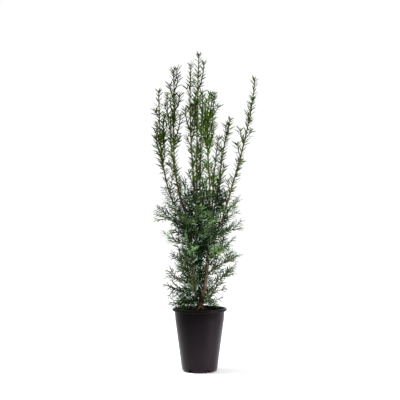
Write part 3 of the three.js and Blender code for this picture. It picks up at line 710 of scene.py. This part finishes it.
# %% Sprays on the right and behind
SPRAYS.update({
    "spray_right_peak": Spray("bough_right", 486, (92, 56, 562), "dark", 1, [
        (0.3, 58, 36, 576), (0.4, 66, 22, 560)]),
    "spray_right_top": Spray("bough_far_right", 470, (130, 26, 530), "dark", 0.8),
    "spray_right_high": Spray("bough_far_right", 424, (138, -40, 446), "mid", 0.9),
    "spray_right_inner": Spray("trunk", 398, (88, -72, 440), "mid", 0.8),
    "spray_right_middle": Spray("trunk", 352, (100, 34, 396), "mid", 1, [
        (0.55, 84, 6, 372), (0.65, 92, 50, 384), (0.5, 76, 10, 400)]),
    "spray_right_front": Spray("trunk", 334, (72, -74, 384), "young", 1, [
        (0.6, 64, -60, 366), (0.5, 48, -56, 386)]),
    "spray_right_low": Spray("trunk", 304, (116, -8, 348), "low", 1, [
        (0.55, 98, -38, 374), (0.65, 104, 18, 370), (0.45, 88, -44, 350), (0.7, 117, -28, 362),
        (0.75, 122, 8, 360)]),
    "spray_right_foot": Spray("trunk", 234, (113, -16, 314), "low", 0.9, [
        (0.65, 104, -42, 306), (0.55, 96, 10, 318), (0.75, 112, -32, 334), (0.7, 98, -30, 322)]),
    "spray_right_fringe": Spray("trunk", 216, (88, 22, 256), "low", 0.4),
    "spray_pot_right": Spray("trunk", 206, (50, -34, 226), "low", 1, [
        (0.3, 23, -26, 224), (0.4, 30, -32, 240), (0.5, 43, -24, 246), (0.35, 34, -10, 252),
        (0.6, 47, -40, 214), (0.2, 20, -22, 244), (0.7, 58, -30, 208), (0.5, 46, -18, 206)]),
    "spray_back_top": Spray("stem_back", 455, (6, 140, 536), "mid"),
    "spray_back_left_high": Spray("stem_back", 410, (-72, 128, 460), "dark"),
    "spray_back_right_high": Spray("stem_back", 378, (76, 126, 426), "mid"),
    "spray_back_middle": Spray("stem_back", 330, (-22, 142, 368), "young"),
    "spray_back_right_low": Spray("stem_back", 276, (66, 104, 316), "dark", 0.6),
    "spray_back_left_low": Spray("stem_back", 250, (-66, 96, 290), "mid"),
    "spray_back_foot": Spray("stem_back", 222, (14, 112, 254), "dark", 0.6),
})
print(f"{len(SPRAYS)} sprays")

# %% [markdown]
# ## How the twigs grow
# The same rule as in the solids sets side twigs on shoots and sprays. They are spaced up the stem and get
# shorter towards its tip. On a shoot each is turned by the golden angle from the last, and on a spray
# they go to either side in turn. Those of low sprays rise less and have shorter needles. Real twigs
# differ by chance. Here chance is a fixed formula, so each run grows the same plant. A twig is left out
# where it would pass the box of the solids or hide the bare lower trunk.

# %% Habits, in millimetres, with leans and spreads in degrees
Twig = namedtuple("Twig", "curve radii bare habit seed tint")
Needles = namedtuple("Needles", "length width pitch first turn scatter spread twist")
HABIT_FIELDS = "group needles bare twig_every twig_length twig_lean twig_share twig_rise"
Habit = namedtuple("Habit", HABIT_FIELDS, defaults=[None, None])
GOLDEN_TURN = math.radians(137.5)
ALL_ROUND = Needles(24, 3.0, 2.9, 0, GOLDEN_TURN, 0.6, 50, (0.9, 0.5))
TWO_RANKS = Needles(24, 2.7, 3.5, math.pi / 2, math.pi, 0.45, 55, (0, 1.0))
SHORT_RANKS = Needles(20, 2.7, 3.3, math.pi / 2, math.pi, 0.9, 52, (0, 1.0))
UPRIGHT = Habit("shoot", ALL_ROUND, 8, 46, 46, 32, (0.9, 0.45), 0.25)
SPREADING = Habit("spray", TWO_RANKS, 14, 35, 74, 40, (1.1, 0.35), 0.3)
LOW = Habit("spray", SHORT_RANKS, 14, 28, 66, 40, (1.1, 0.35), 0.05)
SPUR = Habit("spray", ALL_ROUND, 3, 8, 44, 55)

# %% Helpers for growth
ROLL, ROLL_DRAW = 2.0, 60
SIDEWAYS, UP = np.array([1.0, 0, 0]), np.array([0, 0, 1.0])


def chance(seed, count):
    """A number from 0 to 1 that is always the same for a seed and a count."""
    wave = math.sin(seed * 12.9898 + count * 78.233) * 43758.5453
    return wave - math.floor(wave)


def vary(low, high, share):
    """The value at a share of the way from one to another."""
    return low + (high - low) * share


def across_of(twig):
    """A direction across a twig: sideways on shoots and spurs, and upwards, a little rolled, on sprays."""
    if twig.habit in (UPRIGHT, SPUR):
        return SIDEWAYS
    way = along(twig.curve, [0])[1][0]
    roll = (chance(twig.seed, ROLL_DRAW) - 0.5) * ROLL
    return UP * math.cos(roll) + np.cross(way, UP) * math.sin(roll) + way * way[2] * (1 - math.cos(roll))


def frames(curve, shares, across):
    """Points on a bow with three directions each: along it, and two across it."""
    points, ways = along(curve, shares)
    normals = unit(across - ways * (ways @ across)[:, None])
    return points, ways, normals, np.cross(ways, normals)


def side_bow(curve, at, across, turn, lean, reach, lift, rise):
    """A bow that leaves another one at a share of its length, turned round it and leaning away from it."""
    point, way, normal, side = (part[0] for part in frames(curve, [at], across))
    out = normal * math.cos(turn) + side * math.sin(turn)
    leave = way * math.cos(lean) + out * math.sin(lean)
    return bow(point, leave, point + leave * reach + UP * lift, leave + UP * rise)


# %% Room for twigs
TIP_ROOM = 8
BARE_TRUNK, TRUNK_FRONT, TRUNK_CLEAR = 335, 4, ((250, 275), (13, 6.5))
TWIG_CHECKS = (0.35, 0.7, 1)
lowest, highest = (np.array(corner) / MM for corner in cad_box)
trunk_line = along(trunk_curve, FINE_STEPS)[0].T


def in_reach(point):
    """Whether a tip keeps to the room that the solids take up."""
    return np.all((point > lowest + TIP_ROOM) & (point < highest - TIP_ROOM))


def before_trunk(points, room=1):
    """Which points lie right in front of the bare lower trunk."""
    x, y, z = points.T
    trunk_x, trunk_y = (np.interp(z, trunk_line[2], line) for line in trunk_line[:2])
    is_near = abs(x - trunk_x) < room * np.interp(z, *TRUNK_CLEAR)
    return (z < BARE_TRUNK) & (y < trunk_y - TRUNK_FRONT) & is_near


def hides_trunk(curve):
    """Whether a twig passes in front of the bare lower trunk."""
    return before_trunk(along(curve, TWIG_CHECKS)[0]).any()


# %% Side twigs
SHORTEST_TWIG, TWIG_RADII, TWIG_BARE = 14, (1.4, 1.0), 4


def side_twigs(stem, layer, first_seed):
    """Twigs up both sides of a stem, or all round it, by its habit."""
    habit, length = stem.habit, run_of(stem.curve)[-1]
    count = int((length * layer.upto - habit.bare) // (layer.every * habit.twig_every) + 1)
    across = across_of(stem)
    twigs = []
    for index in range(count):
        draw = [chance(first_seed, index + shift) for shift in (0, 20, 40)]
        share = (index + vary(0.3, 0.8, draw[0])) / count
        at = vary(habit.bare / length, layer.upto, share)
        either_side = -layer.turn if index % 2 else layer.turn
        turn = index * GOLDEN_TURN + first_seed if habit is UPRIGHT else either_side
        lean = math.radians(habit.twig_lean * vary(0.85, 1.15, draw[1]))
        reach = layer.length * habit.twig_length * vary(*habit.twig_share, share) * vary(0.8, 1.2, draw[2])
        curve = side_bow(stem.curve, at, across, turn, lean, reach, reach * habit.twig_rise, layer.rise)
        if reach >= SHORTEST_TWIG and in_reach(curve[-1]) and not hides_trunk(curve):
            twigs.append(Twig(curve, TWIG_RADII, TWIG_BARE, habit, first_seed + index + 1, stem.tint))
    return twigs


# %% [markdown]
# ## Stems and their forks
# Each stem stops a little short of its tip, because the last needles reach on past it. A fork aims at its
# own tip but flares outwards first. Forks of a shoot end upright. Every second fork of the bright and the
# olive shoots has the green of another year. Dense sprays carry a second layer of twigs.

# %% Stems and forks
SHOOT_RADII, FORK_RADII, SPRAY_RADII = (2.6, 1.5), (2.0, 1.4), (1.9, 1.0)
SHOOT_NEEDLES, SPRAY_NEEDLES = 4, 9
THIN_BARE, FORK_BARE, SPRAY_FORK_BARE = 60, 14, 6
LOW_BELOW, SPRAY_LEAVES, SPRAY_ARRIVES = 300, 0.75, 0.2
FORK_AIM, FORK_FLARE, FORK_SEED = 0.6, 0.3, 70
FORK_TINTS = {"bright": "leader", "olive": "bright"}


def shoot_stem(mass, seed):
    """An upright shoot on the tip of its limb."""
    points, ways = along(limb_curves[mass.limb], [1])
    tip = mass.tip - SHOOT_NEEDLES * unit(mass.arrive)
    curve = bow(points[0], ways[0], tip, mass.arrive)
    bare = UPRIGHT.bare if mass.fullness == 1 else THIN_BARE
    return Twig(curve, SHOOT_RADII, bare, UPRIGHT, seed, mass.tint)


def spray_stem(mass, seed):
    """A spray that leaves the side of its limb, rises, and levels out."""
    limb = limb_curves[mass.limb]
    (low, high), _ = along(limb, [0, 1])
    start = along(limb, [(mass.height - low[2]) / (high[2] - low[2])])[0][0]
    run = np.array(mass.tip) - start
    run[2] = 0
    reach = UP * np.linalg.norm(run)
    arrive = run + SPRAY_ARRIVES * reach
    curve = bow(start, run + SPRAY_LEAVES * reach, mass.tip - SPRAY_NEEDLES * unit(arrive), arrive)
    habit = LOW if mass.height < LOW_BELOW else SPREADING
    return Twig(curve, SPRAY_RADII, habit.bare, habit, seed, mass.tint)


def with_forks(stem, mass):
    """A stem and the forks that leave it for their own tips."""
    is_upright = stem.habit is UPRIGHT
    radii, bare = (FORK_RADII, FORK_BARE) if is_upright else (TWIG_RADII, SPRAY_FORK_BARE)
    stems = [stem]
    for index, (at, *tip) in enumerate(mass.forks):
        points, ways = along(stem.curve, [at])
        leave = vary(ways[0], unit(np.array(tip) - points[0]), FORK_AIM)
        leave[0] += FORK_FLARE * np.sign(tip[0] - points[0][0])
        fork = bow(points[0], leave, tip, UP if is_upright else leave)
        tint = FORK_TINTS.get(mass.tint, mass.tint) if index % 2 else mass.tint
        stems.append(Twig(fork, radii, bare, stem.habit, stem.seed + FORK_SEED + index, tint))
    return stems


# %% Grow every stem and side twig
Layer = namedtuple("Layer", "every length turn rise upto")
LAYERS = [Layer(1, 1, 1.1, 0.7, 0.8), Layer(0.9, 0.6, 0.4, 0.9, 0.5)]
LOW_LAYERS = [Layer(1, 1, 1.5, 0.3, 0.8), Layer(0.8, 0.6, 2.2, 0.1, 0.7)]
FORKING_STEM, SEEDS_EACH, LAYER_SEED = 100, 100, 5000

twigs = []
for number, (name, mass) in enumerate([*SHOOTS.items(), *SPRAYS.items()], start=1):
    seed = SEEDS_EACH * number
    stems = with_forks(shoot_stem(mass, seed) if name in SHOOTS else spray_stem(mass, seed), mass)
    twigs += stems
    for stem in stems:
        if run_of(stem.curve)[-1] < FORKING_STEM and stem is not stems[0]:
            continue
        layers = LOW_LAYERS if stem.habit is LOW else LAYERS
        is_thin = stem.habit is UPRIGHT or mass.fullness < 1
        for level, layer in enumerate(layers[:1] if is_thin else layers):
            thinner = layer._replace(every=layer.every / mass.fullness)
            twigs += side_twigs(stem, thinner, stem.seed + level * LAYER_SEED)
print(f"{len(twigs)} stems and twigs")

# %% [markdown]
# ## Spurs
# Old yew wood sprouts short twigs all over, which fill the inside of the crown with green, painted dark
# as painted shade. Sprays could fill it too, but spurs straight on the limbs leave no empty core. They
# stand closest low on the left stem.

# %% Spurs on the limbs
SPUR_RADII, SPUR_RISE = (1.2, 0.8), 0.5
LOWEST_SPUR, LOW_SPURS = 192, 372
SPUR_SPACING, BOUGH_SPACING = {"trunk": 1.4, "stem_left": 0.9, "stem_back": 0.9}, 1.1
LOW_SPACING, LOW_LEAN, LOW_LENGTH = 0.32, 1.35, 0.92
SPUR_SEED, SPUR_SEEDS_EACH = 20000, 1000


def spur_twigs(name, seed):
    """Short twigs straight on a limb, all round it."""
    curve = limb_curves[name]
    length = run_of(curve)[-1]
    spurs, run, index = [], 0, 0
    while run < length:
        at, index = run / length, index + 1
        height = along(curve, [at])[0][0][2]
        is_low = height < LOW_SPURS and name == "stem_left"
        draw = [chance(seed, index + shift) for shift in (-1, 200, 400)]
        spacing = LOW_SPACING if is_low else SPUR_SPACING.get(name, BOUGH_SPACING)
        run += SPUR.twig_every * vary(0.5, 1.5, draw[0]) * spacing
        lean = math.radians(SPUR.twig_lean * vary(0.8, 1.2, draw[1]) * (LOW_LEAN if is_low else 1))
        reach = SPUR.twig_length * vary(0.75, 1.25, draw[2]) * (LOW_LENGTH if is_low else 1)
        turn = index * GOLDEN_TURN + seed
        spur = side_bow(curve, at, SIDEWAYS, turn, lean, reach, 0, SPUR_RISE)
        if height > LOWEST_SPUR and not hides_trunk(spur):
            # Spurs take the shaded green: painted shade inside the crown.
            spurs.append(Twig(spur, SPUR_RADII, SPUR.bare, SPUR, seed + index, "shaded"))
    return spurs


for number, name in enumerate(LIMBS):
    twigs += spur_twigs(name, SPUR_SEED + SPUR_SEEDS_EACH * number)
print(f"{len(twigs)} twigs, {sum(run_of(t.curve)[-1] for t in twigs) / 1000:.1f} m of them")

# %% [markdown]
# ## Twigs
# A twig is a thin tapering tube. A curve with a bevel would make it too, but hundreds of them are quicker
# as arrays: rings of six points along the bow, with two triangles between neighbours. Young twigs are
# green, because the needles' bases run down them. The older stems of shoots and low sprays are brown, and
# olive higher up.

# %% Twig skins
# The skin of young shoots: grown smooth, so it has a soft sheen and faint streaks.
green_twig = patterned("green_twig", 6, [Tone("#1b1e0a", "#484c20")], roughness=0.6, gloss=0.1)
# The first thin cork over that skin: it dulls the green to olive and then to brown.
STEM_TONES = [Tone("#2c2313", "#6a5636"), Tone("#282a11", "#605f2e", begins=530, full=700)]
young_stem = patterned("young_stem_skin", 6, STEM_TONES, roughness=0.6, gloss=0.1)

# %% Sweep the twigs
TWIG_SIDES, TWIG_STEP, LEAST_RINGS, TWIG_POINT = 6, 7, 3, 1.5


def tube_faces(rings, sides):
    """Triangles of a closed tube, whose points are its rings, its foot and its tip, in this order."""
    corner = np.arange(rings * sides).reshape(rings, sides)
    after = np.roll(corner, -1, 1)
    a, b, c, d = (part.ravel() for part in (corner[:-1], after[:-1], after[1:], corner[1:]))
    foot, tip = np.full((sides, 2), (rings * sides, rings * sides + 1)).T
    ends = [np.c_[foot, after[0], corner[0]], np.c_[tip, corner[-1], after[-1]]]
    return np.vstack([np.c_[a, b, c], np.c_[a, c, d], *ends])


def twig_tube(twig):
    """Points, triangles and material numbers of a closed tapering tube along a twig."""
    rings = max(LEAST_RINGS, int(run_of(twig.curve)[-1] / TWIG_STEP))
    shares = np.linspace(0, 1, rings)
    points, _, normals, sides = frames(twig.curve, shares, across_of(twig))
    turns = np.arange(TWIG_SIDES) * 2 * math.pi / TWIG_SIDES
    out = normals[:, None] * np.cos(turns)[:, None] + sides[:, None] * np.sin(turns)[:, None]
    tube = (points[:, None] + out * vary(*twig.radii, shares)[:, None, None]).reshape(-1, 3)
    tube = np.vstack([tube, points[0], points[-1] + TWIG_POINT * unit(points[-1] - points[-2])])
    faces = tube_faces(rings, TWIG_SIDES)
    is_brown = twig.radii == SHOOT_RADII or (twig.habit is LOW and twig.radii == SPRAY_RADII)
    return tube, faces, np.full(len(faces), is_brown)


for group, nodes in (("shoot", SHOOTS), ("spray", SPRAYS)):
    tubes = [twig_tube(twig) for twig in twigs if twig.habit.group == group]
    piece = join_arrays(f"{group}_twigs", tubes, [green_twig, young_stem])
    piece.data.polygons.foreach_set("use_smooth", np.ones(len(piece.data.polygons), bool))
    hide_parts(*nodes)

# %% [markdown]
# ## Needles
# A yew needle is a flat blade of 10 to 40 by 2 to 3 millimetres with a raised midrib, drawn out to a soft
# point, and it is made in life size. A flat card would vanish from the side, so each needle is a closed
# tube of three edges: two margins and the rib. On shoots and spurs the needles stand all round, and on
# sprays in two ranks. Each mass has its own green, with another one below, and the darkest green is
# painted shade. Outer needles of sprays and some of shoots are paler, and a share of each green is
# painted grey white as a painted glint.

# %% Needle skins
Green = namedtuple("Green", "top under glint")
# The last value of each green is the share of its tops that get the painted glint.
GREENS = {
    # The shaded green is painted shade: the darkest green, for needles deep in the crown.
    "shaded": Green(("#040f06", "#17321b"), ("#0d1e0e", "#2b4c28"), 0.17),
    "dark": Green(("#08110b", "#3d6148"), ("#152214", "#41593a"), 0.22),
    "low": Green(("#11180c", "#526e46"), ("#181e11", "#485538"), 0.2),
    "leader": Green(("#0b1602", "#2f4e06"), ("#121f02", "#384f08"), 0.02),
    "mid": Green(("#0d190e", "#527f4c"), ("#172415", "#435a38"), 0.2),
    "olive": Green(("#142103", "#44600a"), ("#142002", "#3c560a"), 0.02),
    "young": Green(("#294521", "#6c915c"), ("#2e4726", "#759662"), 0.1),
    "bright": Green(("#2a480c", "#62942a"), ("#213608", "#50761c"), 0.02),
}
FRESH = {"shoot": ("#34480a", "#7c9822"), "spray": ("#304724", "#7a9c62")}
PAINTED_GLINT = ("#627a70", "#9fb3a8")


def needle_skin(name, greens, roughness):
    """Leaf skin between two greens."""
    return patterned(name, 9, [Tone(*greens)], roughness, gloss=0.015, contrast=(0.36, 0.64))


# A thin wax gives the tops a broad sheen. Below, breathing pores make the leaf duller.
needle_tops = {tint: needle_skin(f"needle_{tint}", green.top, 0.42) for tint, green in GREENS.items()}
needle_under = {tint: needle_skin(f"underside_{tint}", green.under, 0.6) for tint, green in GREENS.items()}
# Leaves of the year are thinner, so light passes through and they look paler and yellower.
needle_fresh = {group: needle_skin(f"{group}_fresh", greens, 0.45) for group, greens in FRESH.items()}
# A share of tops is painted the grey white of the surround: a painted glint, for the light that wax
# reflects.
painted_glint = needle_skin("painted_glint", PAINTED_GLINT, 0.35)

# %% One needle
NEEDLE_RIB = 1.0
MARGINS_AND_RIB = [(-0.5, 0), (0.5, 0), (0, 1)]
STATIONS = [(0.1, 0.9), (0.45, 1.0), (0.82, 0.65)]
rings = [(share, width * y, width * z) for share, width in STATIONS for y, z in MARGINS_AND_RIB]
BLADE = np.array([*rings, (0, 0, 0), (1, 0, 0)])
BLADE_FACES = tube_faces(len(STATIONS), len(MARGINS_AND_RIB))
IS_UNDER = (BLADE[BLADE_FACES, 2] == 0).all(axis=1)
print(f"needle: {len(BLADE)} points, {len(BLADE_FACES)} triangles")

# %% Where the needles stand
THIN_FOOT, CLIMB_START, CLIMB_SCATTER = 0.85, 0.6, 0.7
BUNCH, BUNCH_SPREAD, BUNCHING, BUNCH_DRAW = 55, 30, 0.65, 61
TIP_FOLD, SPREAD_SCATTER = 0.18, 13
LENGTH_SHARE, LENGTH_SCATTER, END_SHORT = 0.82, 0.22, 0.2
NEEDLE_SINK, NEEDLE_CLEAR, NEEDLE_BEND = 0.7, 0.55, 0.09


def needle_places(twig):
    """Roots, directions, facings, lengths and bends of the needles on one twig."""
    needles, length = twig.habit.needles, run_of(twig.curve)[-1]
    count = int((length - twig.bare) / needles.pitch)
    scatter, fan, growth, bend, roll, step = np.random.default_rng(twig.seed).uniform(-1, 1, (6, count))
    steps = np.arange(count)
    climb = np.clip((steps + CLIMB_START + CLIMB_SCATTER * step) / count, 0, 1)
    shares = vary(twig.bare / length, 1, climb**THIN_FOOT)
    if twig.habit is UPRIGHT:
        waves = 2 * math.pi * length / (BUNCH + BUNCH_SPREAD * chance(twig.seed, BUNCH_DRAW))
        shares = np.clip(shares - BUNCHING * np.sin(waves * (shares - 1)) / waves, 0, 1)
    points, ways, normals, sides = frames(twig.curve, shares, across_of(twig))
    turns = needles.first + steps * needles.turn + needles.scatter * scatter
    out = normals * np.cos(turns)[:, None] + sides * np.sin(turns)[:, None]
    spread = np.radians(needles.spread * (1 - TIP_FOLD * shares**4) + SPREAD_SCATTER * fan)[:, None]
    leans = ways * np.cos(spread) + out * np.sin(spread)
    up = ways if needles is ALL_ROUND else normals
    facing = unit(up - leans * np.sum(up * leans, axis=1)[:, None])
    twist = needles.twist[0] + needles.twist[1] * roll[:, None]
    facing = facing * np.cos(twist) + np.cross(leans, facing) * np.sin(twist)
    roots = points + out * NEEDLE_SINK * vary(*twig.radii, shares)[:, None]
    ends = 1 - END_SHORT * (2 * shares - 1) ** 6
    sizes = needles.length * (LENGTH_SHARE + LENGTH_SCATTER * growth) * ends
    is_clear = ~before_trunk(roots + leans * sizes[:, None] / 2, NEEDLE_CLEAR)
    return [part[is_clear] for part in (roots, leans, facing, sizes, NEEDLE_BEND * bend)]


# %% Set the needles
FRESH_FROM, FRESH_WIDTH, FRESH_SHARE = 90, 0.8, 0.3
TOP, UNDER, PAINTED_GLINT_SKIN, PALER = range(4)


def needle_mesh(twig):
    """All the needles of one twig as points, triangles and material numbers."""
    roots, leans, facing, sizes, bends = needle_places(twig)
    s, y, z = BLADE.T
    reach = sizes[:, None] * s
    lift = NEEDLE_RIB * z + bends[:, None] * sizes[:, None] * s**2
    blades = roots[:, None] + leans[:, None] * reach[..., None] + facing[:, None] * lift[..., None]
    glint_draws, fresh = np.random.default_rng(twig.seed + 1).uniform(size=(2, len(roots)))
    is_outer = np.hypot(roots[:, 0], roots[:, 1]) > FRESH_FROM
    is_paler = is_outer if twig.habit.group == "spray" else fresh < FRESH_SHARE
    widths = twig.habit.needles.width * np.where(is_paler, FRESH_WIDTH, 1)
    blades = blades + np.cross(facing, leans)[:, None] * (widths[:, None] * y)[..., None]
    faces = (BLADE_FACES + len(BLADE) * np.arange(len(roots))[:, None, None]).reshape(-1, 3)
    # Some tops get the painted glint, others the paler green of the year.
    tops = np.select([glint_draws < GREENS[twig.tint].glint, is_paler], [PAINTED_GLINT_SKIN, PALER], TOP)
    numbers = np.where(IS_UNDER, UNDER, tops[:, None])
    return blades.reshape(-1, 3), faces, numbers.ravel()


for group, nodes in (("shoot", SHOOTS), ("spray", SPRAYS)):
    for tint, skin in needle_tops.items():
        parts = [needle_mesh(twig) for twig in twigs if twig.habit.group == group and twig.tint == tint]
        if parts:
            skins = [skin, needle_under[tint], painted_glint, needle_fresh[group]]
            piece = join_arrays(f"{group}_needles_{tint}", parts, skins)
            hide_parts(*(name for name, mass in nodes.items() if mass.tint == tint))

# %% [markdown]
# ## Hold it against the solids
# The finished plant is held against the box of the solids: both boxes are printed side by side. The
# finished plant has to stay close to the box of the solids, because other tools use those for weight and
# contact.

# %% Measure and finish
plant_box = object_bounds()
for name, box in (("solids", cad_box), ("plant", plant_box)):
    print(name, [round(side, 3) for side in box[1] - box[0]])
